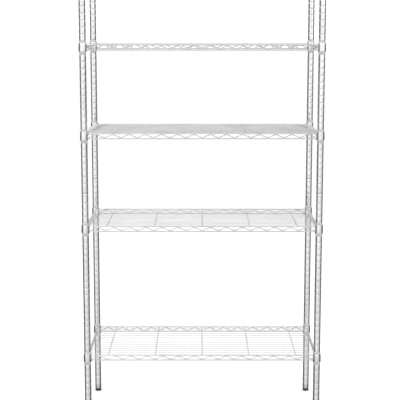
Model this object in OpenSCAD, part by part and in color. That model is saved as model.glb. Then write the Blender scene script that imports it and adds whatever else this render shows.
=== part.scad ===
/* Five-tier wire shelving rack with round grooved posts.
   Units are mm, +Z is up, the front faces -Y, and the origin is on the floor under the middle of the rack.
   Shelves are numbered 1 (lowest) to 5 (top). fl, fr, rl and rr are front left, front right, rear left
   and rear right, seen from the front. */

/* [Overall size] */
// Distance between post centres from side to side
post_pitch_x = 889; // [584:1:1500]
// Distance between post centres from front to back
post_pitch_y = 381; // [280:1:600]
// Height from the floor to the top of the caps
rack_height = 1829; // [1500:1:2200]
// Height from the floor to the seam between the two halves of a post
seam_height = 914.4; // [600:0.1:1200]

/* [Posts] */
// Outside diameter of a post
post_d = 25.4; // [19:0.1:38]
// Wall thickness of a post
post_wall = 1.2; // [1:0.1:2.5]
// Distance from one groove to the next
groove_pitch = 25.4; // [20:0.1:50.8]
// Height of the first groove above the floor
first_groove = 40; // [36:0.5:60]
// Number of grooves along a post
groove_count = 70; // [50:1:85]
// Width of a groove at the surface
groove_w = 2.4; // [1:0.1:4]
// Depth of a groove
groove_deep = 0.6; // [0.3:0.05:0.8]

/* [Shelf positions] */
// Groove that carries the lowest shelf, counted from 0
groove_1 = 9; // [5:1:14]
// Groove that carries shelf 2
groove_2 = 29; // [16:1:32]
// Groove that carries shelf 3
groove_3 = 43; // [34:1:48]
// Groove that carries shelf 4
groove_4 = 56; // [50:1:61]
// Groove that carries the top shelf
groove_5 = 69; // [63:1:69]

/* [Shelf wires] */
// Distance between the top and bottom rim wires, centre to centre
truss_h = 19.5; // [15:0.5:30]
// Diameter of the top rim wires at front and back
rim_top_d = 5.5; // [4:0.1:8]
// Diameter of the other rim wires
rim_d = 5; // [3:0.1:7]
// Diameter of the zigzag wires
snake_d = 4; // [2.5:0.1:5]
// Radius of the bends of a zigzag wire, at its centre line
snake_bend = 6; // [4:0.5:10]
// Zigzag waves along the front and the back
snake_waves_x = 14; // [6:2:24]
// Zigzag waves along each side
snake_waves_y = 6; // [2:2:12]
// Diameter of the mat wires
mat_d = 2.6; // [2:0.1:5]
// Number of mat wires between the front and back rims
mat_count = 14; // [6:1:22]
// Diameter of the cross wires under the mat
cross_d = 4.5; // [3:0.1:6]
// Number of cross wires under the mat
cross_count = 5; // [3:1:9]
// Distance between cross wires
cross_pitch = 182; // [80:1:240]
// How deep one wire sinks into another at a weld
weld_sink = 0.5; // [0.2:0.1:1]

/* [Corner fittings] */
// Height of a collar above the top rim wire's centre
collar_up = 8; // [4:0.5:12]
// Depth of a collar below the top rim wire's centre
collar_down = 24; // [22:0.5:30]
// Wall thickness of a collar
collar_wall = 1.15; // [0.8:0.05:2]
// Height of a sleeve above the top rim wire's centre
sleeve_up = 13; // [10:0.5:20]
// Depth of a sleeve below the top rim wire's centre
sleeve_down = 34; // [28:0.5:40]
// Depth of the sleeve's ridge below the top rim wire's centre
ridge_down = 10.5; // [6:0.5:16]
// Sleeve radius where its cone starts, near the top
sleeve_r_top = 13.7; // [13.4:0.05:15]
// Sleeve radius where its cone ends, near the bottom
sleeve_r_bottom = 14.7; // [14.2:0.05:17]
// Gap between the two halves of a sleeve
sleeve_gap = 1.2; // [0.5:0.1:3]

/* [Feet] */
// Diameter of a floor pad
pad_d = 25; // [20:0.5:40]
// Height of a floor pad
pad_h = 5; // [4:0.5:10]
// Distance across the flats of a foot's turning head
head_af = 21.5; // [16:0.5:30]
// Diameter of a foot's threaded stem
stem_d = 7.9; // [5:0.1:9]
// Length of a foot's threaded stem
stem_len = 38; // [30:1:60]

/* [Hidden] */
$fn = 48;
post_r = post_d / 2;
post_in = post_r - post_wall;
half_x = post_pitch_x / 2;
half_y = post_pitch_y / 2;
// a bend is this much thicker than the legs of a zigzag, whose ends lie this far inside it
bend_extra = 0.05;
leg_lap = 0.2;
// room for a running fit, and the squeeze of a press fit
run = 0.05;
press = 0.05;
hole_r = stem_d / 2 + run;
flange_z = 11;
post_bottom = flange_z + 1.5;
cap_h = 4;
post_top = rack_height - cap_h;
// what each hidden plug reaches into a tube, and how far the seam's plugs stay back from the seam
joint_plug = 20;
insert_plug = 20;
cap_plug = 14;
cap_wall = 1.6;
plug_set_back = 0.2;
// no groove comes nearer than this to the end of a tube
groove_clear = 4;
// a sleeve's cone runs between these heights, and its ridge stands this far into a groove
cone_top = sleeve_up - 4;
cone_bottom = -sleeve_down + 9;
ridge_in = 0.5;
stud_len = 30;
groove_of_shelf = [groove_1, groove_2, groove_3, groove_4, groove_5];
// the shelf's own zero is the centre of its front top rim wire
mat_z = rim_top_d / 2 - mat_d / 2;
side_top_z = mat_z - mat_d / 2 - rim_d / 2 + weld_sink;
cross_z = mat_z - mat_d / 2 - cross_d / 2 + weld_sink;
snake_low = -truss_h + rim_d / 2 + snake_d / 2 - weld_sink;
snake_high_x = -rim_top_d / 2 - snake_d / 2 + weld_sink;
snake_high_y = side_top_z - rim_d / 2 - snake_d / 2 + weld_sink;
mat_pitch = post_pitch_y / (mat_count + 1);
chrome = "#c9ccd1";
steel = "#9a9da1";
grey_plastic = "#b9bcc0";
dark_plastic = "#3a3b3d";

function groove_z(i) = first_groove + i * groove_pitch;
function shelf_z(n) = groove_z(groove_of_shelf[n - 1]) + ridge_down;
// the sleeve's cone, as a radius at a height above the top rim wire's centre
function cone_r(z) =
    sleeve_r_bottom + (sleeve_r_top - sleeve_r_bottom) * (z - cone_bottom) / (cone_top - cone_bottom);
function bore_r(z) = cone_r(z) + run;
// how far from a post's centre a wire at height z ends, halfway into the collar's wall
function wire_end(z) = bore_r(z) + 0.45 * collar_wall;

module at_posts() {
    for (sx = [-1, 1], sy = [-1, 1]) translate([sx * half_x, sy * half_y, 0]) children();
}

// ---- posts ----

module grooved_tube(z0, z1) {
    heights = [for (i = [0:groove_count - 1]) groove_z(i)];
    grooves = [for (g = heights) if (g > z0 + groove_clear && g < z1 - groove_clear) g];
    side = groove_w / 2;
    outside = [
        for (g = grooves, p = [[post_r, g - side], [post_r - groove_deep, g], [post_r, g + side]]) p
    ];
    rotate_extrude() polygon(concat([[post_in, z0], [post_r, z0]], outside, [[post_r, z1], [post_in, z1]]));
}

module lower_post(sx, sy) {
    color(chrome) translate([sx * half_x, sy * half_y, 0]) grooved_tube(post_bottom, seam_height);
}

module upper_post(sx, sy) {
    color(chrome) translate([sx * half_x, sy * half_y, 0]) grooved_tube(seam_height, post_top);
}

module lower_post_fl() { lower_post(-1, -1); }
module lower_post_fr() { lower_post(1, -1); }
module lower_post_rl() { lower_post(-1, 1); }
module lower_post_rr() { lower_post(1, 1); }
module upper_post_fl() { upper_post(-1, -1); }
module upper_post_fr() { upper_post(1, -1); }
module upper_post_rl() { upper_post(-1, 1); }
module upper_post_rr() { upper_post(1, 1); }

module threaded_plug(z0, z1) {
    translate([0, 0, z0]) difference() {
        cylinder(h = z1 - z0, r = post_in + press);
        translate([0, 0, -1]) cylinder(h = z1 - z0 + 2, r = hole_r);
    }
}

module seam_plugs() {
    color(steel) at_posts() {
        threaded_plug(seam_height - joint_plug, seam_height - plug_set_back);
        threaded_plug(seam_height + plug_set_back, seam_height + joint_plug);
    }
}

module seam_studs() {
    color(steel) at_posts() translate([0, 0, seam_height])
        cylinder(h = stud_len, r = stem_d / 2, center = true);
}

module top_caps() {
    dome = [for (a = [0:10:90]) [post_r * sin(a), post_top + cap_h * cos(a)]];
    color(grey_plastic) at_posts() rotate_extrude() polygon(concat(dome, [
        [post_in + press, post_top], [post_in + press, post_top - cap_plug],
        [post_in - cap_wall, post_top - cap_plug], [post_in - cap_wall, post_top - 1], [0, post_top - 1]
    ]));
}

module foot_inserts() {
    color(steel) at_posts() rotate_extrude() polygon([
        [hole_r, flange_z], [post_r, flange_z], [post_r, post_bottom], [post_in + press, post_bottom],
        [post_in + press, post_bottom + insert_plug], [hole_r, post_bottom + insert_plug]
    ]);
}

// ---- sleeves: two half shells round each post, with a ridge that sits in a groove ----

module sleeve_half() {
    gap_angle = 2 * asin(sleeve_gap / 2 / post_r);
    inner = post_r + run;
    rotate([0, 0, gap_angle / 2]) rotate_extrude(angle = 180 - gap_angle) polygon([
        [inner, -sleeve_down], [inner, -ridge_down - 1], [inner - ridge_in, -ridge_down],
        [inner, -ridge_down + 1], [inner, sleeve_up], [inner + 0.35, sleeve_up],
        [sleeve_r_top, cone_top], [sleeve_r_bottom, cone_bottom],
        [sleeve_r_bottom, cone_bottom - 1], [inner + 0.7, -sleeve_down]
    ]);
}

// the four half shells on one side of a shelf, side -1 being the left
module sleeves(n, side) {
    color(grey_plastic) for (sy = [-1, 1], a = [0, 180])
        translate([side * half_x, sy * half_y, shelf_z(n)]) rotate([0, 0, a]) sleeve_half();
}

module sleeves_1_left() { sleeves(1, -1); }
module sleeves_1_right() { sleeves(1, 1); }
module sleeves_2_left() { sleeves(2, -1); }
module sleeves_2_right() { sleeves(2, 1); }
module sleeves_3_left() { sleeves(3, -1); }
module sleeves_3_right() { sleeves(3, 1); }
module sleeves_4_left() { sleeves(4, -1); }
module sleeves_4_right() { sleeves(4, 1); }
module sleeves_5_left() { sleeves(5, -1); }
module sleeves_5_right() { sleeves(5, 1); }

// ---- shelves ----

module wire_x(y, z, d, half_len) {
    translate([0, y, z]) rotate([0, 90, 0]) cylinder(h = 2 * half_len, r = d / 2, center = true);
}

module wire_y(x, z, d, half_len) {
    translate([x, 0, z]) rotate([90, 0, 0]) cylinder(h = 2 * half_len, r = d / 2, center = true);
}

// a bend between two angles, a hair thicker than the straight legs that end inside it
module bend(x, z, from, to) {
    translate([x, 0, z]) rotate([90, 0, 0]) rotate([0, 0, from]) rotate_extrude(angle = to - from)
        translate([snake_bend, 0]) circle(r = snake_d / 2 + bend_extra);
}

// a zigzag along X between two heights, which starts, ends and crosses the middle at the lower one
module snake(half_len, waves, low, high) {
    step = half_len / waves;
    rise = high - low;
    rest = rise - 2 * snake_bend;
    lean = atan2(rest, step) + asin(2 * snake_bend / norm([step, rest]));
    leg = (rise - 2 * snake_bend * (1 - cos(lean))) / sin(lean);
    for (i = [0:2 * waves]) {
        x = -half_len + i * step;
        if (i % 2 == 1) bend(x, high - snake_bend, 90 - lean, 90 + lean);
        else bend(x, low + snake_bend, i > 0 ? 270 - lean : 270, i < 2 * waves ? 270 + lean : 270);
    }
    for (i = [0:2 * waves - 1]) {
        x = -half_len + i * step + snake_bend * sin(lean);
        off = snake_bend * (1 - cos(lean));
        up = i % 2 == 0;
        translate([x, 0, up ? low + off : high - off]) rotate([0, up ? 90 - lean : 90 + lean, 0])
            translate([0, 0, -leg_lap]) cylinder(h = leg + 2 * leg_lap, r = snake_d / 2);
    }
}

module mat_wires(n) {
    color(chrome) translate([0, 0, shelf_z(n)]) for (i = [1:mat_count])
        wire_x(-half_y + i * mat_pitch, mat_z, mat_d, half_x + 1.2);
}

module cross_wires(n) {
    color(chrome) translate([0, 0, shelf_z(n)]) for (i = [0:cross_count - 1])
        wire_y((i - (cross_count - 1) / 2) * cross_pitch, cross_z, cross_d, half_y - 1);
}

module rim_wires(n) {
    color(chrome) translate([0, 0, shelf_z(n)]) {
        for (s = [-1, 1]) {
            wire_x(s * half_y, 0, rim_top_d, half_x - wire_end(0));
            wire_x(s * half_y, -truss_h, rim_d, half_x - wire_end(-truss_h));
            wire_y(s * half_x, side_top_z, rim_d, half_y - wire_end(side_top_z));
            wire_y(s * half_x, -truss_h, rim_d, half_y - wire_end(-truss_h));
        }
    }
}

module snake_wires(n) {
    end = wire_end(snake_low);
    color(chrome) translate([0, 0, shelf_z(n)]) for (s = [-1, 1]) {
        translate([0, s * half_y, 0]) snake(half_x - end, snake_waves_x, snake_low, snake_high_x);
        translate([s * half_x, 0, 0]) rotate([0, 0, 90])
            snake(half_y - end, snake_waves_y, snake_low, snake_high_y);
    }
}

module collars(n) {
    color(chrome) at_posts() translate([0, 0, shelf_z(n)]) rotate_extrude() polygon([
        [bore_r(collar_up), collar_up], [bore_r(collar_up) + collar_wall - 0.3, collar_up],
        [bore_r(collar_up) + collar_wall, collar_up - 0.5],
        [bore_r(-collar_down) + collar_wall, -collar_down + 0.5],
        [bore_r(-collar_down) + collar_wall - 0.3, -collar_down], [bore_r(-collar_down), -collar_down]
    ]);
}

module shelf_1_collars() { collars(1); }
module shelf_1_rim_wires() { rim_wires(1); }
module shelf_1_snake_wires() { snake_wires(1); }
module shelf_1_cross_wires() { cross_wires(1); }
module shelf_1_mat_wires() { mat_wires(1); }
module shelf_2_collars() { collars(2); }
module shelf_2_rim_wires() { rim_wires(2); }
module shelf_2_snake_wires() { snake_wires(2); }
module shelf_2_cross_wires() { cross_wires(2); }
module shelf_2_mat_wires() { mat_wires(2); }
module shelf_3_collars() { collars(3); }
module shelf_3_rim_wires() { rim_wires(3); }
module shelf_3_snake_wires() { snake_wires(3); }
module shelf_3_cross_wires() { cross_wires(3); }
module shelf_3_mat_wires() { mat_wires(3); }
module shelf_4_collars() { collars(4); }
module shelf_4_rim_wires() { rim_wires(4); }
module shelf_4_snake_wires() { snake_wires(4); }
module shelf_4_cross_wires() { cross_wires(4); }
module shelf_4_mat_wires() { mat_wires(4); }
module shelf_5_collars() { collars(5); }
module shelf_5_rim_wires() { rim_wires(5); }
module shelf_5_snake_wires() { snake_wires(5); }
module shelf_5_cross_wires() { cross_wires(5); }
module shelf_5_mat_wires() { mat_wires(5); }

// ---- feet: a pad that slides down from the post as the head and its stem turn ----

module foot_pad(sx, sy) {
    color(dark_plastic) translate([sx * half_x, sy * half_y, 0]) rotate_extrude() polygon([
        [0, 0], [pad_d / 2 - 1, 0], [pad_d / 2, 1], [pad_d / 2, pad_h - 1], [pad_d / 2 - 1, pad_h],
        [hole_r, pad_h], [hole_r, 2], [0, 2]
    ]);
}

module foot_head(sx, sy) {
    color(dark_plastic) translate([sx * half_x, sy * half_y, pad_h + 0.2]) difference() {
        cylinder(h = flange_z - pad_h - 0.4, r = head_af / 2 / cos(30), $fn = 6);
        translate([0, 0, -1]) cylinder(h = flange_z, r = stem_d / 2 - press);
    }
}

module foot_stem(sx, sy) {
    color(steel) translate([sx * half_x, sy * half_y, 2.1]) rotate_extrude() polygon([
        [0, 0], [stem_d / 2, 0], [stem_d / 2, stem_len - 1], [stem_d / 2 - 1, stem_len], [0, stem_len]
    ]);
}

module foot_pad_fl() { foot_pad(-1, -1); }
module foot_head_fl() { foot_head(-1, -1); }
module foot_stem_fl() { foot_stem(-1, -1); }
module foot_pad_fr() { foot_pad(1, -1); }
module foot_head_fr() { foot_head(1, -1); }
module foot_stem_fr() { foot_stem(1, -1); }
module foot_pad_rl() { foot_pad(-1, 1); }
module foot_head_rl() { foot_head(-1, 1); }
module foot_stem_rl() { foot_stem(-1, 1); }
module foot_pad_rr() { foot_pad(1, 1); }
module foot_head_rr() { foot_head(1, 1); }
module foot_stem_rr() { foot_stem(1, 1); }

lower_post_fl();
lower_post_fr();
lower_post_rl();
lower_post_rr();
upper_post_fl();
upper_post_fr();
upper_post_rl();
upper_post_rr();
seam_plugs();
seam_studs();
top_caps();
foot_inserts();
sleeves_1_left();
sleeves_1_right();
sleeves_2_left();
sleeves_2_right();
sleeves_3_left();
sleeves_3_right();
sleeves_4_left();
sleeves_4_right();
sleeves_5_left();
sleeves_5_right();
shelf_1_collars();
shelf_1_rim_wires();
shelf_1_snake_wires();
shelf_1_cross_wires();
shelf_1_mat_wires();
shelf_2_collars();
shelf_2_rim_wires();
shelf_2_snake_wires();
shelf_2_cross_wires();
shelf_2_mat_wires();
shelf_3_collars();
shelf_3_rim_wires();
shelf_3_snake_wires();
shelf_3_cross_wires();
shelf_3_mat_wires();
shelf_4_collars();
shelf_4_rim_wires();
shelf_4_snake_wires();
shelf_4_cross_wires();
shelf_4_mat_wires();
shelf_5_collars();
shelf_5_rim_wires();
shelf_5_snake_wires();
shelf_5_cross_wires();
shelf_5_mat_wires();
foot_pad_fl();
foot_head_fl();
foot_stem_fl();
foot_pad_fr();
foot_head_fr();
foot_stem_fr();
foot_pad_rl();
foot_head_rl();
foot_stem_rl();
foot_pad_rr();
foot_head_rr();
foot_stem_rr();
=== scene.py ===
"""Looks of a five-tier chrome wire shelving rack.

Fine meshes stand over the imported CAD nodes, in the same places, with procedural materials, a plain studio
and a camera in front. Shapes are built in millimetres and scaled to metres at the end. fl, fr, rl and rr
are the front left, front right, rear left and rear right corners.
"""

import math

import bmesh
import bpy
import numpy as np
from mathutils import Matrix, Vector


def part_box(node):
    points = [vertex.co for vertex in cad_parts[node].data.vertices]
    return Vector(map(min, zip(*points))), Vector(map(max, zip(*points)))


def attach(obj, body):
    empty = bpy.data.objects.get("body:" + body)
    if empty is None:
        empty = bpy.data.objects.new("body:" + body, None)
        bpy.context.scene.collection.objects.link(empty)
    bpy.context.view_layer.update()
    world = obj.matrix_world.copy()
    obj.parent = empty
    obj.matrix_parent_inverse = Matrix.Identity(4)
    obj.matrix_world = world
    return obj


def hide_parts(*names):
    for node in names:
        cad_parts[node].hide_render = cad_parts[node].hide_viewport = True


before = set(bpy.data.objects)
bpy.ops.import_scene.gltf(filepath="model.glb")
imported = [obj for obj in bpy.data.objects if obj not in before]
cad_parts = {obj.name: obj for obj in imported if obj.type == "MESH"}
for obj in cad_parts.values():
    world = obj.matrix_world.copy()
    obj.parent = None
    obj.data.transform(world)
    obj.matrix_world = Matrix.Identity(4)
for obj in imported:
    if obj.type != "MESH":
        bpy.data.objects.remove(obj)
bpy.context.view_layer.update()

MM = 0.001
rng = np.random.default_rng(7)


# ------------------------------------------------ sizes in mm, from the frame where they can be
def node_box(node):
    """Lowest and highest corner of a CAD node at rest, in mm."""
    low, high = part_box(node)
    return [np.round(np.array(corner) / MM, 3) for corner in (low, high)]


# posts, their caps and the inserts in their feet
post_low, post_high = node_box("lower_post_fr")
cap_low, cap_high = node_box("top_caps")
insert_low, insert_high = node_box("foot_inserts")
HALF_X = (post_low[0] + post_high[0]) / 2
HALF_Y = -(post_low[1] + post_high[1]) / 2
POST_R = (post_high[0] - post_low[0]) / 2
POST_WALL = 1.2
POST_IN = POST_R - POST_WALL
POST_BOTTOM, SEAM = post_low[2], post_high[2]
POST_TOP = node_box("upper_post_fr")[1][2]
CAP_PLUG, RACK_TOP = cap_low[2], cap_high[2]
FLANGE_Z, INSERT_TOP = insert_low[2], insert_high[2]
FIRST_GROOVE, GROOVE_PITCH, GROOVE_COUNT, GROOVE_DEEP = 40.0, 25.4, 70, 0.6
# air between pieces that fit tightly, and between round ones that slide
SLACK, FIT = 0.02, 0.05

# radii of a shelf's wires
RIM_TOP_R, RIM_R, SNAKE_R, MAT_R, CROSS_R = 2.75, 2.5, 2.0, 1.3, 2.25
# drop from the top rim wires to the lower ones, and how far welded wires sink into each other
TRUSS, WELD_SINK = 19.5, 0.5
# bends of the zigzag wires, and how many waves run along a long and a short side
BEND_R, WAVES_X, WAVES_Y = 6.0, 14, 6
MAT_COUNT, CROSS_COUNT, CROSS_PITCH = 14, 5, 182.0
# how far mat wires pass the centres of the side rims, and cross bars stop short of the long ones
MAT_OVER, CROSS_SHORT = 1.2, 1.0
# how far drawn wires stray from straight
RIM_DRIFT_X, RIM_DRIFT_Y, MAT_DRIFT, CROSS_DRIFT = 0.12, 0.08, 0.22, 0.15
SHELF_ZERO = {n: node_box(f"shelf_{n}_rim_wires")[1][2] - RIM_TOP_R for n in range(1, 6)}

# collars, and the sleeves that they sit on
collar_low, collar_high = node_box("shelf_1_collars")
sleeve_low, sleeve_high = node_box("sleeves_1_left")
COLLAR_UP, COLLAR_DOWN = collar_high[2] - SHELF_ZERO[1], SHELF_ZERO[1] - collar_low[2]
SLEEVE_UP, SLEEVE_DOWN = sleeve_high[2] - SHELF_ZERO[1], SHELF_ZERO[1] - sleeve_low[2]
COLLAR_WALL, RIDGE_DOWN, SLEEVE_GAP = 1.15, 10.5, 1.2
NECK_H, SKIRT_H = 4, 9
CONE_TOP, CONE_BOTTOM = SLEEVE_UP - NECK_H, -SLEEVE_DOWN + SKIRT_H
CONE_R_TOP, CONE_R_BOTTOM = 13.7, 14.7

# feet
PAD_R, PAD_H, STEM_R = 12.5, 5.0, 3.95

# heights above a shelf's zero, the centre of its front top rim wire
MAT_Z = RIM_TOP_R - MAT_R
SIDE_Z = MAT_Z - MAT_R - RIM_R + WELD_SINK
CROSS_Z = MAT_Z - MAT_R - CROSS_R + WELD_SINK
SNAKE_LOW = -TRUSS + RIM_R + SNAKE_R - WELD_SINK
SNAKE_HIGH_X = -RIM_TOP_R - SNAKE_R + WELD_SINK
SNAKE_HIGH_Y = SIDE_Z - RIM_R - SNAKE_R + WELD_SINK

# places of the mat wires across the shelf, and of the cross bars along it
MAT_Y = [-HALF_Y + i * 2 * HALF_Y / (MAT_COUNT + 1) for i in range(1, MAT_COUNT + 1)]
CROSS_X = [(i - (CROSS_COUNT - 1) / 2) * CROSS_PITCH for i in range(CROSS_COUNT)]

CORNERS = {"fl": (-1, -1), "fr": (1, -1), "rl": (-1, 1), "rr": (1, 1)}


def corner_at(corner):
    """Centre of a corner's post, at floor height."""
    sx, sy = CORNERS[corner]
    return (sx * HALF_X, sy * HALF_Y, 0.0)


def cone_r(z):
    """Outer radius of a sleeve's cone at a height above its shelf's zero."""
    return CONE_R_BOTTOM + (CONE_R_TOP - CONE_R_BOTTOM) * (z - CONE_BOTTOM) / (CONE_TOP - CONE_BOTTOM)


def bore_r(z):
    """Inner radius of a collar, just clear of the cone."""
    return cone_r(z) + FIT


def collar_r(z):
    """Outer radius of a collar."""
    return bore_r(z) + COLLAR_WALL


def wire_end(z):
    """How far from a post's centre a wire at this height ends, nearly halfway into the collar's wall."""
    return bore_r(z) + 0.45 * COLLAR_WALL


# ------------------------------------------------ mesh building
def rounded(points, cut, steps=3):
    """Rounds the inner corners of an open (radius, height) profile."""
    points = [np.asarray(p, float) for p in points]
    out = [points[0]]
    for before, corner, after in zip(points, points[1:], points[2:]):
        back, ahead = before - corner, after - corner
        reach = min(cut, 0.45 * np.linalg.norm(back), 0.45 * np.linalg.norm(ahead))
        first = corner + back / np.linalg.norm(back) * reach
        last = corner + ahead / np.linalg.norm(ahead) * reach
        for t in np.linspace(0, 1, steps + 1):
            out.append((1 - t) ** 2 * first + 2 * t * (1 - t) * corner + t * t * last)
    return out + [points[-1]]


def tube_faces(rings, sides):
    """Faces of a stack of rings, closed at both ends."""
    faces = []
    for i in range(rings - 1):
        for k in range(sides):
            q = (k + 1) % sides
            faces.append((i * sides + k, i * sides + q, (i + 1) * sides + q, (i + 1) * sides + k))
    faces.append(tuple(range(sides))[::-1])
    faces.append(tuple((rings - 1) * sides + k for k in range(sides)))
    return faces


def unit_ball(rings, sides):
    """Vertices and faces of a closed ball of radius 1."""
    verts = [(0.0, 0.0, 1.0)]
    for i in range(1, rings):
        polar = math.pi * i / rings
        for k in range(sides):
            a = 2 * math.pi * k / sides
            verts.append((math.sin(polar) * math.cos(a), math.sin(polar) * math.sin(a), math.cos(polar)))
    verts.append((0.0, 0.0, -1.0))
    last = len(verts) - 1
    faces = []
    for k in range(sides):
        q = (k + 1) % sides
        faces.append((0, 1 + k, 1 + q))
        for i in range(rings - 2):
            a, b = 1 + i * sides, 1 + (i + 1) * sides
            faces.append((a + k, b + k, b + q, a + q))
        faces.append((last - sides + k, last, last - sides + q))
    return np.array(verts), faces


BALL = unit_ball(6, 10)


class Shape:
    """Collects closed shells, in mm, into one mesh."""

    def __init__(self):
        self.verts, self.faces, self.count = [], [], 0

    def add(self, verts, faces):
        verts = np.asarray(verts, float)
        self.verts.append(verts)
        self.faces += [tuple(i + self.count for i in face) for face in faces]
        self.count += len(verts)

    def lathe(self, profile, at, sides=48, axis="z", start=0.0, sweep=360.0):
        """Turns (radius, height) points about an axis. The profile's ends meet or both lie on the axis."""
        profile = [tuple(float(c) for c in p) for p in profile]
        ring = np.allclose(profile[0], profile[-1])
        if ring:
            profile = profile[:-1]
        whole = sweep >= 360
        columns = sides if whole else sides + 1
        verts, rows = [], []
        for radius, height in profile:
            on_axis = radius < 1e-6
            if on_axis:
                rows.append([len(verts)] * columns)
                verts.append((0.0, 0.0, height))
                continue
            rows.append(list(range(len(verts), len(verts) + columns)))
            for i in range(columns):
                a = math.radians(start + sweep * i / sides)
                verts.append((radius * math.cos(a), radius * math.sin(a), height))
        pairs = list(zip(rows, rows[1:])) + ([(rows[-1], rows[0])] if ring else [])
        faces = []
        for i in range(sides):
            j = (i + 1) % columns
            for low, high in pairs:
                face = tuple(dict.fromkeys((low[i], low[j], high[j], high[i])))
                if len(face) > 2:
                    faces.append(face)
        if not whole:
            faces.append(tuple(row[0] for row in reversed(rows)))
            faces.append(tuple(row[-1] for row in rows))
        verts = np.array(verts)
        if axis == "x":
            verts = verts[:, [2, 0, 1]]
        if axis == "y":
            verts = verts[:, [1, 2, 0]]
        self.add(verts + np.asarray(at, float), faces)

    def wire(self, path, radius, sides, across):
        """A round wire with rounded ends, along a path that nearly lies in the plane square to across."""
        path = np.asarray(path, float)
        along = np.gradient(path, axis=0)
        along /= np.linalg.norm(along, axis=1)[:, None]
        # rings of a rounded end, as distance from the tip and radius, both in wire radii
        nose = [(0.51, 0.97), (0.21, 0.80), (0.04, 0.45), (0.0, 0.05)]
        head = [(path[0] + along[0] * radius * back, along[0], radius * r) for back, r in reversed(nose)]
        tail = [(path[-1] - along[-1] * radius * back, along[-1], radius * r) for back, r in nose]
        body = [(p, t, radius) for p, t in zip(path[1:-1], along[1:-1])]
        rings = head + body + tail
        centres, along, radii = (np.array(part) for part in zip(*rings))
        up = np.cross(along, np.asarray(across, float))
        up /= np.linalg.norm(up, axis=1)[:, None]
        side = np.cross(up, along)
        a = 2 * math.pi * np.arange(sides) / sides
        spread = side[:, None] * np.cos(a)[None, :, None] + up[:, None] * np.sin(a)[None, :, None]
        verts = centres[:, None] + radii[:, None, None] * spread
        self.add(verts.reshape(-1, 3), tube_faces(len(rings), sides))

    def ball(self, at, size, turn=0.0):
        """A rounded lump, such as a weld, turned about Z."""
        verts = BALL[0] * np.asarray(size, float)
        c, s = math.cos(turn), math.sin(turn)
        self.add(verts @ np.array([[c, s, 0], [-s, c, 0], [0, 0, 1]]) + np.asarray(at, float), BALL[1])

    def piece(self, name, material, body, node=None, up=0.0, sharp=40.0):
        """Makes the mesh an object that rides on a body, and stands for a CAD node if one is given."""
        verts = (np.vstack(self.verts) + (0, 0, up)) * MM
        mesh = bpy.data.meshes.new(name)
        mesh.from_pydata(verts.tolist(), [], self.faces)
        work = bmesh.new()
        work.from_mesh(mesh)
        bmesh.ops.recalc_face_normals(work, faces=work.faces)
        work.to_mesh(mesh)
        work.free()
        mesh.shade_smooth()
        mesh.set_sharp_from_angle(angle=math.radians(sharp))
        mesh.materials.append(material)
        made = bpy.data.objects.new(name, mesh)
        bpy.context.scene.collection.objects.link(made)
        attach(made, body)
        if node:
            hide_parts(node)


# ------------------------------------------------ materials
class Nodes:
    """Adds shader nodes to the tree of a material or a world."""

    def __init__(self, owner):
        owner.use_nodes = True
        self.tree = owner.node_tree

    def node(self, kind, links=(), **values):
        made = self.tree.nodes.new(kind)
        for key, value in values.items():
            made.inputs[key].default_value = value
        for key, source in links:
            self.tree.links.new(source, made.inputs[key])
        return made

    def math(self, operation, a, b=0.0):
        made = self.node("ShaderNodeMath")
        made.operation = operation
        for socket, value in zip(made.inputs, (a, b)):
            if isinstance(value, (int, float)):
                socket.default_value = value
            else:
                self.tree.links.new(value, socket)
        return made.outputs[0]

    def ramp(self, value, start, end, low, high):
        """low where value is at start, high where it is at end, smoothly between."""
        made = self.node("ShaderNodeMapRange", [("Value", value)])
        made.interpolation_type = "SMOOTHSTEP"
        for key, number in (("From Min", start), ("From Max", end), ("To Min", low), ("To Max", high)):
            made.inputs[key].default_value = number
        return made.outputs["Result"]


class Material(Nodes):
    """A Principled material. Its colour, roughness and bump are patterns in the object's own space."""

    def __init__(self, name):
        self.material = bpy.data.materials.new(name)
        super().__init__(self.material)
        self.shader = next(n for n in self.tree.nodes if n.type == "BSDF_PRINCIPLED")
        self.place = self.node("ShaderNodeTexCoord").outputs["Object"]

    def noise(self, scale, detail=4.0, roughness=0.55, stretch=(1, 1, 1), distortion=0.0):
        place = self.node("ShaderNodeMapping", [("Vector", self.place)], Scale=stretch).outputs["Vector"]
        values = {"Scale": scale, "Detail": detail, "Roughness": roughness, "Distortion": distortion}
        return self.node("ShaderNodeTexNoise", [("Vector", place)], **values).outputs["Fac"]

    def cells(self, scale):
        return self.node("ShaderNodeTexVoronoi", [("Vector", self.place)], Scale=scale).outputs["Distance"]

    def mix(self, amount, first, second):
        """One colour turning into another. A colour is a triple or another pattern."""
        made = self.node("ShaderNodeMix")
        made.data_type = "RGBA"
        self.tree.links.new(amount, made.inputs["Factor"])
        # the node's colour sockets go by number, since its sockets for plain numbers have the same names
        for socket, colour in ((made.inputs[6], first), (made.inputs[7], second)):
            if isinstance(colour, tuple):
                socket.default_value = (*colour, 1)
            else:
                self.tree.links.new(colour, socket)
        return made.outputs[2]

    def finish(self, colour, roughness, height, bump, distance):
        self.tree.links.new(colour, self.shader.inputs["Base Color"])
        self.tree.links.new(roughness, self.shader.inputs["Roughness"])
        made = self.node("ShaderNodeBump", [("Height", height)], Strength=bump, Distance=distance)
        self.tree.links.new(made.outputs["Normal"], self.shader.inputs["Normal"])
        return self.material


def shade(colour, factor):
    return tuple(factor * c for c in colour)


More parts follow.
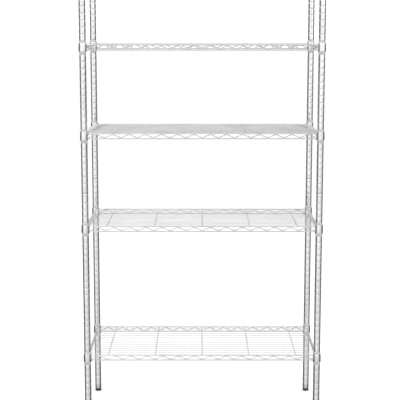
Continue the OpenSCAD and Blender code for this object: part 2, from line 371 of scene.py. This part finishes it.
def chrome(name, light, dark, rough, stretch=(1, 1, 1), line_scale=900.0, grooved=False):
    """Bright plate on drawn steel: cloudy tone, smears, specks of dust, draw lines, and grooves that are
    rougher and darkened with painted shade.
    """
    m = Material(name)
    m.shader.inputs["Metallic"].default_value = 1.0
    cloud = m.noise(9.0, detail=5.0, roughness=0.6)
    smear = m.noise(34.0, detail=6.0, roughness=0.65, distortion=0.6)
    lines = m.noise(line_scale, detail=3.0, roughness=0.6, stretch=stretch)
    speck = m.ramp(m.cells(210.0), 0.03, 0.11, 0.55, 0.0)
    colour = m.mix(m.ramp(cloud, 0.35, 0.68, 0.0, 1.0), light, dark)
    colour = m.mix(m.ramp(smear, 0.55, 0.78, 0.0, 0.35), colour, shade(dark, 0.88))
    colour = m.mix(speck, colour, shade(dark, 0.8))
    roughness = m.math("ADD", m.ramp(smear, 0.38, 0.72, *rough), m.ramp(lines, 0.3, 0.8, 0.0, 0.06))
    roughness = m.math("ADD", roughness, m.math("MULTIPLY", speck, 0.25))
    if grooved:
        height = m.node("ShaderNodeSeparateXYZ", [("Vector", m.place)]).outputs["Z"]
        from_first = m.math("SUBTRACT", height, FIRST_GROOVE * MM)
        from_groove = m.math("PINGPONG", from_first, GROOVE_PITCH / 2 * MM)
        # painted shade: the grooves' colour darkens towards a deep chrome, standing in for the shade in
        # these recesses; the added roughness is their real dullness
        in_groove = m.ramp(from_groove, 0.0004, 0.0013, 0.5, 0.0)
        groove_dull_and_shade = m.math("MULTIPLY", in_groove, m.ramp(smear, 0.3, 0.6, 0.4, 1.0))
        colour = m.mix(groove_dull_and_shade, colour, shade(dark, 0.6))
        roughness = m.math("ADD", roughness, m.math("MULTIPLY", groove_dull_and_shade, 0.2))
    relief = m.math("ADD", lines, m.math("MULTIPLY", cloud, 0.6))
    return m.finish(colour, roughness, relief, bump=0.12, distance=0.00012)


def zinc(name):
    """Zinc-plated steel: grainy grey with faint warm and cool patches."""
    m = Material(name)
    m.shader.inputs["Metallic"].default_value = 1.0
    patch = m.noise(60.0, detail=6.0, roughness=0.6)
    grain = m.noise(1400.0, detail=3.0, roughness=0.6)
    colour = m.mix(m.ramp(patch, 0.35, 0.65, 0.0, 1.0), (0.62, 0.62, 0.60), (0.50, 0.53, 0.56))
    colour = m.mix(m.ramp(grain, 0.45, 0.8, 0.0, 0.5), colour, (0.35, 0.35, 0.34))
    roughness = m.ramp(m.math("ADD", patch, grain), 0.7, 1.3, 0.26, 0.50)
    return m.finish(colour, roughness, grain, bump=0.25, distance=0.0001)


def plastic(name, light, dark, dust, rough, grain_scale=1600.0, bump=0.25):
    """Moulded plastic or rubber: fine eroded texture, cloudy tone and a little dust."""
    m = Material(name)
    m.shader.inputs["Specular IOR Level"].default_value = 0.45
    cloud = m.noise(45.0, detail=5.0, roughness=0.6)
    grain = m.noise(grain_scale, detail=3.0, roughness=0.6)
    dusty = m.noise(300.0, detail=6.0, roughness=0.7)
    colour = m.mix(m.ramp(cloud, 0.3, 0.7, 0.0, 1.0), light, dark)
    colour = m.mix(m.ramp(grain, 0.4, 0.7, 0.0, 0.4), colour, shade(dark, 0.85))
    colour = m.mix(m.ramp(dusty, 0.56, 0.75, 0.0, 0.5), colour, dust)
    roughness = m.ramp(m.math("ADD", cloud, grain), 0.7, 1.3, *rough)
    relief = m.math("ADD", grain, m.cells(grain_scale * 0.8))
    return m.finish(colour, roughness, relief, bump, distance=0.00015)


# chrome's colours before tone and dust: a light one, and a deeper one in the clouds of the plate
PALE, DEEP = (0.832, 0.835, 0.839), (0.757, 0.76, 0.765)
# draw lines run along a wire or a post, so the noise that makes them is stretched that way
DRAWN_X, DRAWN_Y, DRAWN_Z = (0.04, 1, 1), (1, 0.04, 1), (1, 1, 0.04)

post_chrome = chrome("post_chrome", PALE, DEEP, (0.05, 0.14), DRAWN_Z, grooved=True)
wire_chrome_x = chrome("wire_chrome_x", shade(PALE, 0.97), shade(DEEP, 0.96), (0.07, 0.19), DRAWN_X)
# painted light: the cross bars are the same chrome as the other wires, with a lighter colour that stands in
# for the brighter reflections they catch
wire_chrome_painted_lighter = chrome("wire_chrome_painted_lighter", shade(PALE, 1.12), shade(DEEP, 1.14), (0.07, 0.19), DRAWN_Y)
collar_chrome = chrome("collar_chrome", PALE, shade(DEEP, 0.95), (0.07, 0.2), (1, 1, 0.3))
weld_chrome = chrome("weld_chrome", shade(PALE, 0.9), shade(DEEP, 0.85), (0.12, 0.3), line_scale=500.0)
zinc_steel = zinc("zinc_steel")
grey_plastic = plastic(
    "grey_plastic", light=(0.47, 0.475, 0.48), dark=(0.40, 0.405, 0.41), dust=(0.58, 0.58, 0.57),
    rough=(0.38, 0.55),
)
foot_plastic = plastic(
    "foot_plastic", light=(0.045, 0.045, 0.048), dark=(0.03, 0.03, 0.032), dust=(0.15, 0.148, 0.145),
    rough=(0.42, 0.6),
)
pad_rubber = plastic(
    "pad_rubber", light=(0.036, 0.036, 0.038), dark=(0.024, 0.024, 0.026), dust=(0.16, 0.157, 0.152),
    rough=(0.6, 0.8), grain_scale=900.0, bump=0.4,
)


# ------------------------------------------------ posts, their caps and foot inserts
def tube_end(z, inward):
    """Outline of a tube's end, from bore to outside. inward is 1 at the bottom and -1 at the top."""
    bevel, halfway, edge = 0.2, 0.1, 0.35
    inside = [(POST_IN, z + inward * bevel), (POST_IN + bevel, z)]
    outside = [(POST_R - edge, z), (POST_R - halfway, z + inward * halfway), (POST_R, z + inward * edge)]
    return inside + outside


def tube_profile(low, high):
    """Section of a post's half: a tube with softened ends and soft grooves."""
    # height from the groove's centre and share of its depth
    flank = [(-1.75, 0.0), (-1.35, 0.05), (-1.0, 0.28), (-0.6, 0.70), (-0.25, 0.95)]
    groove = flank + [(0.0, 1.0)] + [(-z, deep) for z, deep in reversed(flank)]
    plain_end = 4
    points = tube_end(low, 1)
    for i in range(GROOVE_COUNT):
        centre = FIRST_GROOVE + i * GROOVE_PITCH
        if low + plain_end < centre < high - plain_end:
            points += [(POST_R - GROOVE_DEEP * deep, centre + z) for z, deep in groove]
    points += tube_end(high, -1)[::-1]
    return points + [points[0]]


def posts():
    for half, low, high in (("lower", POST_BOTTOM, SEAM), ("upper", SEAM, POST_TOP)):
        profile = tube_profile(low, high)
        for corner in CORNERS:
            shape = Shape()
            shape.lathe(profile, corner_at(corner), 56)
            name, node = f"{half}_tube_{corner}", f"{half}_post_{corner}"
            shape.piece(name, post_chrome, "frame", node)


def caps():
    """Hollow push-in caps with a domed top and a small moulded ring on it."""
    rise = RACK_TOP - POST_TOP
    plug_r, plug_bore = POST_IN - SLACK, POST_IN - 1.6
    seat, hollow_top = POST_TOP + SLACK, POST_TOP - 1
    angles = [math.radians(a) for a in range(0, 91, 6)]
    profile = [(POST_R * math.sin(a), POST_TOP + rise * math.cos(a)) for a in angles]
    profile += [(POST_R, POST_TOP + 0.15), (POST_R - 0.1, seat), (plug_r, seat)]
    profile += [(plug_r, CAP_PLUG), (plug_bore, CAP_PLUG), (plug_bore, hollow_top), (0, hollow_top)]
    # radius, and height from the top of the dome
    moulded_ring = [(7.6, -0.95), (7.9, -0.5), (8.5, -0.6), (8.8, -1.2), (8.2, -1.6), (7.6, -0.95)]
    shape = Shape()
    for corner in CORNERS:
        shape.lathe(profile, corner_at(corner), 48)
        shape.lathe([(r, RACK_TOP + z) for r, z in moulded_ring], corner_at(corner), 40)
    shape.piece("post_caps", grey_plastic, "frame", "top_caps")


def inserts():
    """Inserts in the posts' feet, each with a flange under the post and a hole for the stem."""
    inner, plug_r = 4.0, POST_IN - SLACK
    profile = [(inner, INSERT_TOP), (inner, FLANGE_Z), (POST_R, FLANGE_Z), (POST_R, POST_BOTTOM)]
    profile += [(plug_r, POST_BOTTOM), (plug_r, INSERT_TOP), (inner, INSERT_TOP)]
    shape = Shape()
    for corner in CORNERS:
        shape.lathe(rounded(profile, 0.3), corner_at(corner), 48)
    shape.piece("insert_flanges", zinc_steel, "frame", "foot_inserts")


def hidden_joints():
    """The plugs and studs inside the posts keep their CAD shape."""
    for name in ("seam_plugs", "seam_studs"):
        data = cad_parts[name].data
        data.materials.clear()
        data.materials.append(zinc_steel)


# ------------------------------------------------ sleeves
def sleeves():
    """Two half shells clip round a post, with a ridge in the bore that snaps into a groove."""
    inner = POST_R + FIT
    profile = rounded([
        (inner, -SLEEVE_DOWN + 0.3), (inner + 0.25, -SLEEVE_DOWN), (inner + 0.7, -SLEEVE_DOWN),
        (CONE_R_BOTTOM, CONE_BOTTOM - 1.6), (CONE_R_BOTTOM, CONE_BOTTOM), (cone_r(0), 0),
        (CONE_R_TOP, CONE_TOP), (CONE_R_TOP - 0.15, CONE_TOP + 1.4), (inner + 0.35, SLEEVE_UP),
        (inner + 0.1, SLEEVE_UP), (inner, SLEEVE_UP - 0.4), (inner, -RIDGE_DOWN + 1),
        (inner - 0.5, -RIDGE_DOWN), (inner, -RIDGE_DOWN - 1), (inner, -SLEEVE_DOWN + 0.3),
    ], 0.25, 2)
    gap = math.degrees(2 * math.asin(SLEEVE_GAP / 2 / POST_R))
    for n, zero in SHELF_ZERO.items():
        for word, sx in (("left", -1), ("right", 1)):
            shape = Shape()
            for sy in (-1, 1):
                for start in (gap / 2, 180 + gap / 2):
                    shape.lathe(profile, (sx * HALF_X, sy * HALF_Y, 0), 32, start=start, sweep=180 - gap)
            name = f"sleeve_shells_{n}_{word}"
            shape.piece(name, grey_plastic, "frame", f"sleeves_{n}_{word}", up=zero)


# ------------------------------------------------ shelves
def wander(count, size):
    """A slow random drift of about this size along a drawn wire, none at its two ends."""
    t = np.linspace(0, 1, count)
    usual_peak = 1.6
    drift = sum(rng.normal() * np.sin(math.pi * k * t) / k for k in (1, 2, 3, 5))
    return size * drift / usual_peak


def wire_path(axis, along, aside, height):
    """Points with X and Y in the right order for a wire that runs along an axis."""
    return np.stack([along, aside, height] if axis == "x" else [aside, along, height], 1)


def straight(axis, half_len, other, z, drift):
    """Points of a nearly straight wire, from end to end along X or Y."""
    point_every, fewest = 22.0, 7
    count = max(fewest, int(2 * half_len / point_every))
    along = np.linspace(-half_len, half_len, count)
    aside = other + wander(count, drift)
    height = z + wander(count, drift)
    return wire_path(axis, along, aside, height)


def zigzag(axis, half_len, waves, low, high, other):
    """Points of a zigzag wire, round bends joined by straight legs, which starts and ends low."""
    step = half_len / waves
    rest = high - low - 2 * BEND_R
    lean = math.atan2(rest, step) + math.asin(2 * BEND_R / math.hypot(step, rest))
    last_bend = 2 * waves
    points = []
    for i in range(last_bend + 1):
        first = 0.0 if i == 0 else -lean
        last = 0.0 if i == last_bend else lean
        # the wire begins and ends with half a bend
        for a in np.linspace(first, last, 5 if i in (0, last_bend) else 9):
            drop = BEND_R * (1 - math.cos(a))
            z = high - drop if i % 2 else low + drop
            points.append((-half_len + i * step + BEND_R * math.sin(a), z))
    along, height = np.array(points).T
    return wire_path(axis, along, np.full(len(along), float(other)), height)


def collars(n, zero, body):
    """Conical collars with a softened rim, one at each corner."""
    top, bottom = COLLAR_UP, -COLLAR_DOWN
    profile = rounded([
        (bore_r(top), top - 0.4), (bore_r(top) + 0.25, top), (collar_r(top) - 0.3, top),
        (collar_r(top), top - 0.5), (collar_r(0), 0), (collar_r(bottom), bottom + 0.5),
        (collar_r(bottom) - 0.3, bottom), (bore_r(bottom) + 0.2, bottom), (bore_r(bottom), bottom + 0.3),
        (bore_r(top), top - 0.4),
    ], 0.2, 2)
    shape = Shape()
    for corner in CORNERS:
        shape.lathe(profile, corner_at(corner), 48)
    shape.piece(f"collars_{n}", collar_chrome, body, f"shelf_{n}_collars", up=zero)


def rims(n, zero, body):
    """Two wires, one above the other, on each side of the shelf."""
    shape = Shape()
    for s in (-1, 1):
        for z, radius in ((0.0, RIM_TOP_R), (-TRUSS, RIM_R)):
            long_way = straight("x", HALF_X - wire_end(z), s * HALF_Y, z, RIM_DRIFT_X)
            shape.wire(long_way, radius, 20, (0, 1, 0))
        for z in (SIDE_Z, -TRUSS):
            short_way = straight("y", HALF_Y - wire_end(z), s * HALF_X, z, RIM_DRIFT_Y)
            shape.wire(short_way, RIM_R, 20, (1, 0, 0))
    shape.piece(f"rims_{n}", wire_chrome_x, body, f"shelf_{n}_rim_wires", up=zero)


def zigzags(n, zero, body):
    """A zigzag wire between the two rim wires of each side."""
    end = wire_end(SNAKE_LOW)
    shape = Shape()
    for s in (-1, 1):
        long_way = zigzag("x", HALF_X - end, WAVES_X, SNAKE_LOW, SNAKE_HIGH_X, s * HALF_Y)
        short_way = zigzag("y", HALF_Y - end, WAVES_Y, SNAKE_LOW, SNAKE_HIGH_Y, s * HALF_X)
        shape.wire(long_way, SNAKE_R, 14, (0, 1, 0))
        shape.wire(short_way, SNAKE_R, 14, (1, 0, 0))
    shape.piece(f"zigzags_{n}", wire_chrome_x, body, f"shelf_{n}_snake_wires", up=zero)


def mat(n, zero, body):
    """The wires that goods stand on, from side to side."""
    shape = Shape()
    for y in MAT_Y:
        shape.wire(straight("x", HALF_X + MAT_OVER, y, MAT_Z, MAT_DRIFT), MAT_R, 14, (0, 1, 0))
    shape.piece(f"mat_{n}", wire_chrome_x, body, f"shelf_{n}_mat_wires", up=zero)


def cross_bars(n, zero, body):
    """The thicker wires under the mat, from front to back."""
    shape = Shape()
    for x in CROSS_X:
        shape.wire(straight("y", HALF_Y - CROSS_SHORT, x, CROSS_Z, CROSS_DRIFT), CROSS_R, 16, (1, 0, 0))
    shape.piece(f"cross_bars_{n}", wire_chrome_painted_lighter, body, f"shelf_{n}_cross_wires", up=zero)


def collar_bead(shape, corner, axis, z, radius):
    """The weld round a rim wire where it meets a collar."""
    inward = -CORNERS[corner][0 if axis == "x" else 1]
    hub = math.sqrt(collar_r(z) ** 2 - radius ** 2)
    # how far the bead stands off the wire, and how far along it from the collar
    flare = [(0, -1.0), (1.3, -1.0), (1.15, 0.3), (0.7, 1.1)]
    flare += [(0.3, 2.0), (0.05, 3.2), (-0.3, 3.5), (0, 3.5)]
    profile = [(radius + out, inward * (hub + along)) for out, along in flare]
    profile[0] = (0, profile[0][1])
    profile[-1] = (0, profile[-1][1])
    x, y, _ = corner_at(corner)
    shape.lathe(profile, (x, y, z), 18, axis=axis)


def mat_welds(shape):
    """Flat lumps where the mat wires lie on the cross bars and the side rims."""
    under_mat = MAT_Z - MAT_R + 0.2
    least, more, thick = (2.1, 1.8), 0.3, 0.8
    for y in MAT_Y:
        for x in CROSS_X + [-HALF_X, HALF_X]:
            size = (least[0] + more * rng.random(), least[1] + more * rng.random(), thick)
            shape.ball((x, y, under_mat), size, rng.random())


def cross_welds(shape):
    """Lumps where the cross bars end at the long rims."""
    inside, above, size = 2.2, 0.6, (2.7, 1.5, 1.9)
    for x in CROSS_X:
        for s in (-1, 1):
            shape.ball((x, s * (HALF_Y - inside), CROSS_Z + above), size)


def zigzag_welds(shape):
    """Long lumps where the zigzag wires touch the rims."""
    end = wire_end(SNAKE_LOW)
    bite, least, more, wide, thick = 0.1, 3.2, 0.5, 1.7, 0.85
    runs = (
        ("x", WAVES_X, SNAKE_HIGH_X, HALF_X - end, HALF_Y),
        ("y", WAVES_Y, SNAKE_HIGH_Y, HALF_Y - end, HALF_X),
    )
    for axis, waves, high, half_len, other in runs:
        for s in (-1, 1):
            for i in range(1, 2 * waves):
                along = -half_len + i * half_len / waves
                z = high + SNAKE_R - bite if i % 2 else SNAKE_LOW - SNAKE_R + bite
                reach = least + more * rng.random()
                if axis == "x":
                    shape.ball((along, s * other, z), (reach, wide, thick))
                else:
                    shape.ball((s * other, along, z), (wide, reach, thick))


def welds(n, zero, body):
    """Small resistance-weld lumps wherever two wires of a shelf touch, and beads at the collars."""
    shape = Shape()
    mat_welds(shape)
    cross_welds(shape)
    zigzag_welds(shape)
    for corner in CORNERS:
        collar_bead(shape, corner, "x", 0.0, RIM_TOP_R)
        collar_bead(shape, corner, "x", -TRUSS, RIM_R)
        collar_bead(shape, corner, "y", SIDE_Z, RIM_R)
        collar_bead(shape, corner, "y", -TRUSS, RIM_R)
    shape.piece(f"welds_{n}", weld_chrome, body, up=zero, sharp=60)


def shelves():
    for n, zero in SHELF_ZERO.items():
        for part in (collars, rims, zigzags, cross_bars, mat, welds):
            part(n, zero, f"shelf_{n}")


# ------------------------------------------------ feet
def foot_pad(corner):
    """A rubber pad with a contact ring under it, a shallow channel on top and ribs round its edge."""
    x, y, _ = corner_at(corner)
    bore, bore_floor = STEM_R + FIT, 2.0
    shape = Shape()
    shape.lathe(rounded([
        (0, 0.6), (8.5, 0.6), (9.0, 0.0), (11.6, 0.0), (PAD_R - 0.05, 0.9), (PAD_R - 0.05, PAD_H - 1.1),
        (PAD_R - 0.8, PAD_H - 0.1), (10.2, PAD_H), (9.9, PAD_H - 0.3), (5.6, PAD_H - 0.3), (5.2, PAD_H),
        (bore, PAD_H), (bore, bore_floor), (0, bore_floor),
    ], 0.25, 2), (x, y, 0), 64)
    ribs, rib_deep, rib_wide, rib_tall = 24, 0.32, 0.75, 1.35
    for k in range(ribs):
        a = 2 * math.pi * k / ribs
        at_r = PAD_R - rib_deep
        at = (x + at_r * math.cos(a), y + at_r * math.sin(a), PAD_H / 2 - 0.05)
        shape.ball(at, (rib_deep, rib_wide, rib_tall), a)
    shape.piece(f"pad_{corner}", pad_rubber, f"pad_{corner}", f"foot_pad_{corner}")


def foot_head(corner):
    """The turning head: a hexagon, flat in front, with softened corners and chamfered ends."""
    x, y, _ = corner_at(corner)
    flat, corner_r, air = 10.75, 12.15, 0.2
    low, high = PAD_H + air, FLANGE_Z - air
    # the bore bites a little into the stem, so no gap shows round it
    bore = STEM_R - 0.05
    # angle and reach of each point round the hexagon, in steps to both sides of the middle of a flat
    steps = [math.radians(a) for a in (-27, -18, -9, 0, 9, 18, 27)]
    middles = [math.radians(60 * side + 30) for side in range(6)]
    outline = [(middle + a, min(flat / math.cos(a), corner_r)) for middle in middles for a in steps]
    # the share of that reach at distances from either end
    chamfer = [(0, 0.90), (0.5, 0.985), (1, 1.0)]
    levels = [(low + up, share) for up, share in chamfer]
    levels += [(high - down, share) for down, share in reversed(chamfer)]
    rings = [[(a, reach * share, z) for a, reach in outline] for z, share in levels]
    rings += [[(a, bore, z) for a, _ in outline] for z in (high, low)]
    sides = len(outline)
    # the bore's lower ring joins the first ring, so the stack has no ends
    faces = tube_faces(len(rings), sides)[:-2]
    last = (len(rings) - 1) * sides
    faces += [(last + k, last + (k + 1) % sides, (k + 1) % sides, k) for k in range(sides)]
    verts = [(x + r * math.cos(a), y + r * math.sin(a), z) for ring in rings for a, r, z in ring]
    shape = Shape()
    shape.add(verts, faces)
    body, node = f"bolt_{corner}", f"foot_head_{corner}"
    shape.piece(f"head_{corner}", foot_plastic, body, node, sharp=28)


def foot_thread(corner):
    """The stem with a real helical thread, plain at its foot and tapered at its top."""
    x, y, _ = corner_at(corner)
    body, node = f"bolt_{corner}", f"foot_stem_{corner}"
    low, high = node_box(node)
    bottom, length = low[2], high[2] - low[2]
    # 18 turns to the inch
    pitch, depth = 25.4 / 18, 0.62
    plain, run_in, point, point_deep = 3.5, 1.5, 1.2, 0.7
    sides, steps = 36, 9
    heights = np.linspace(0, length, round(length / pitch * steps) + 1)
    verts = []
    for z in heights:
        fade = min(1.0, max(0.0, (z - plain) / run_in))
        taper = max(0.0, (z - (length - point)) / point)
        for k in range(sides):
            a = 2 * math.pi * k / sides
            turn = (z / pitch - k / sides) % 1.0
            valley = min(1.0, max(0.0, 1.35 * abs(2 * turn - 1) - 0.12))
            radius = STEM_R - SLACK - depth * valley * fade - point_deep * taper
            verts.append((x + radius * math.cos(a), y + radius * math.sin(a), bottom + z))
    shape = Shape()
    shape.add(verts, tube_faces(len(heights), sides))
    shape.piece(f"thread_{corner}", zinc_steel, body, node, sharp=70)


def feet():
    for corner in CORNERS:
        foot_pad(corner)
        foot_head(corner)
        foot_thread(corner)


# ------------------------------------------------ floor, light and camera, in metres
scene = bpy.context.scene


def floor():
    """A pale floor. Chrome mirrors the studio in its place, so posts keep clean streaks to their feet."""
    m = Material("pale_floor")
    m.shader.inputs["Specular IOR Level"].default_value = 0.2
    tone = m.ramp(m.noise(1.3, detail=6.0, roughness=0.6), 0.3, 0.7, 0.0, 1.0)
    colour = m.mix(tone, (0.93, 0.93, 0.93), (0.918, 0.918, 0.922))
    roughness = m.ramp(m.noise(5.0), 0.3, 0.7, 0.55, 0.7)
    grain = m.noise(140.0, detail=5.0, roughness=0.6)
    reach, sides = 60.0, 64
    angles = [2 * math.pi * k / sides for k in range(sides)]
    rim = [(reach * math.cos(a), reach * math.sin(a), 0) for a in angles]
    mesh = bpy.data.meshes.new("floor")
    mesh.from_pydata(rim, [], [tuple(range(sides))])
    mesh.materials.append(m.finish(colour, roughness, grain, bump=0.05, distance=0.0005))
    made = bpy.data.objects.new("floor", mesh)
    scene.collection.objects.link(made)
    made.visible_glossy = False


# flags that the chrome mirrors, as azimuth from the front, half width and softness in degrees, and how much
# light is left: two dark ones on each side give the posts their outlines, and faint ones in front tone them
SIDE_FLAGS = ((101, 20, 30, 0.14), (156, 12, 18, 0.22), (-98, 18, 24, 0.09), (-155, 12, 16, 0.15))
FAINT_FLAGS = ((38, 14, 14, 0.80), (-47, 2, 8, 0.75), (5, 2, 6, 0.82))


class Studio(Nodes):
    """The world's light: plain white, but a studio with flags and a dim ceiling in the chrome's mirror."""

    def __init__(self):
        self.world = bpy.data.worlds.new("studio")
        super().__init__(self.world)
        self.tree.nodes.clear()
        direction = self.node("ShaderNodeTexCoord").outputs["Generated"]
        self.x, self.y, self.z = self.node("ShaderNodeSeparateXYZ", [("Vector", direction)]).outputs

    def level(self):
        """How far a direction is from straight up or down: 1 at the horizon."""
        x_squared = self.math("MULTIPLY", self.x, self.x)
        y_squared = self.math("MULTIPLY", self.y, self.y)
        return self.math("MAXIMUM", self.math("SQRT", self.math("ADD", x_squared, y_squared)), 0.01)

    def flag(self, level, azimuth, wide, soft, left):
        """A tall dark flag at an azimuth, as a factor on the light from that side."""
        a = math.radians(azimuth)
        across = self.math("MULTIPLY", self.x, math.sin(a))
        ahead = self.math("MULTIPLY", self.y, -math.cos(a))
        toward = self.math("DIVIDE", self.math("ADD", across, ahead), level)
        edge, core = math.cos(math.radians(wide + soft)), math.cos(math.radians(wide))
        return self.ramp(toward, edge, core, 1.0, left)

    def flags(self):
        """All the flags together. They are weaker above the horizon, and fade out straight up and down."""
        level = self.level()
        streaks = 1.0
        for spec in SIDE_FLAGS + FAINT_FLAGS:
            streaks = self.math("MULTIPLY", streaks, self.flag(level, *spec))
        near_level = self.ramp(level, 0.45, 0.85, 0.0, 1.0)
        below = self.ramp(self.z, 0.02, 0.16, 1.0, 0.3)
        strength = self.math("MULTIPLY", near_level, below)
        change = self.math("MULTIPLY", strength, self.math("SUBTRACT", streaks, 1.0))
        return self.math("ADD", 1.0, change)

    def build(self):
        # bright from the horizon upwards, about half as bright straight below, and dimmer still overhead
        ceiling = self.ramp(self.z, 0.42, 0.72, 1.26, 0.50)
        ground = self.ramp(self.z, -0.60, -0.05, 0.55, 1.0)
        light = self.math("MULTIPLY", self.flags(), self.math("MULTIPLY", ceiling, ground))
        plain = self.node("ShaderNodeBackground", Color=(1, 1, 1, 1), Strength=1.2)
        mirrored = self.node("ShaderNodeBackground", [("Strength", light)], Color=(1, 1, 1, 1))
        glossy = self.node("ShaderNodeLightPath").outputs["Is Glossy Ray"]
        links = [(0, glossy), (1, plain.outputs[0]), (2, mirrored.outputs[0])]
        choose = self.node("ShaderNodeMixShader", links)
        self.node("ShaderNodeOutputWorld", [("Surface", choose.outputs[0])])
        scene.world = self.world


def soft_light(name, at, target, size, watts):
    lamp = bpy.data.lights.new(name, "AREA")
    lamp.shape = "RECTANGLE"
    lamp.size, lamp.size_y = size
    lamp.energy = watts
    made = bpy.data.objects.new(name, lamp)
    made.location = at
    made.rotation_euler = (Vector(target) - Vector(at)).to_track_quat("-Z", "Y").to_euler()
    scene.collection.objects.link(made)


def lights():
    middle = (0, 0, 0.8)
    soft_light("key", (-2.6, -3.4, 3.4), middle, (2.4, 3.0), 22)
    soft_light("fill", (3.2, -2.6, 2.4), middle, (2.2, 2.6), 10)
    soft_light("top", (0, 0.6, 4.6), (0, 0, 0), (4.0, 3.0), 30)


def camera():
    """In front, above the middle, looking slightly down. A small shift leaves less tilt in the posts."""
    from_front, aside, height, down = 3.776, -0.0084, 1.517, 8.19
    lens = bpy.data.cameras.new("camera")
    lens.sensor_width = 36
    lens.lens = 90.783
    lens.shift_y = -0.055
    lens.clip_end = 200
    made = bpy.data.objects.new("camera", lens)
    made.location = (aside, -HALF_Y * MM - from_front, height)
    made.rotation_euler = (math.radians(90 - down), 0, 0)
    scene.collection.objects.link(made)
    scene.camera = made


posts()
caps()
inserts()
hidden_joints()
sleeves()
shelves()
feet()
floor()
Studio().build()
lights()
camera()
scene.view_settings.view_transform = "Standard"
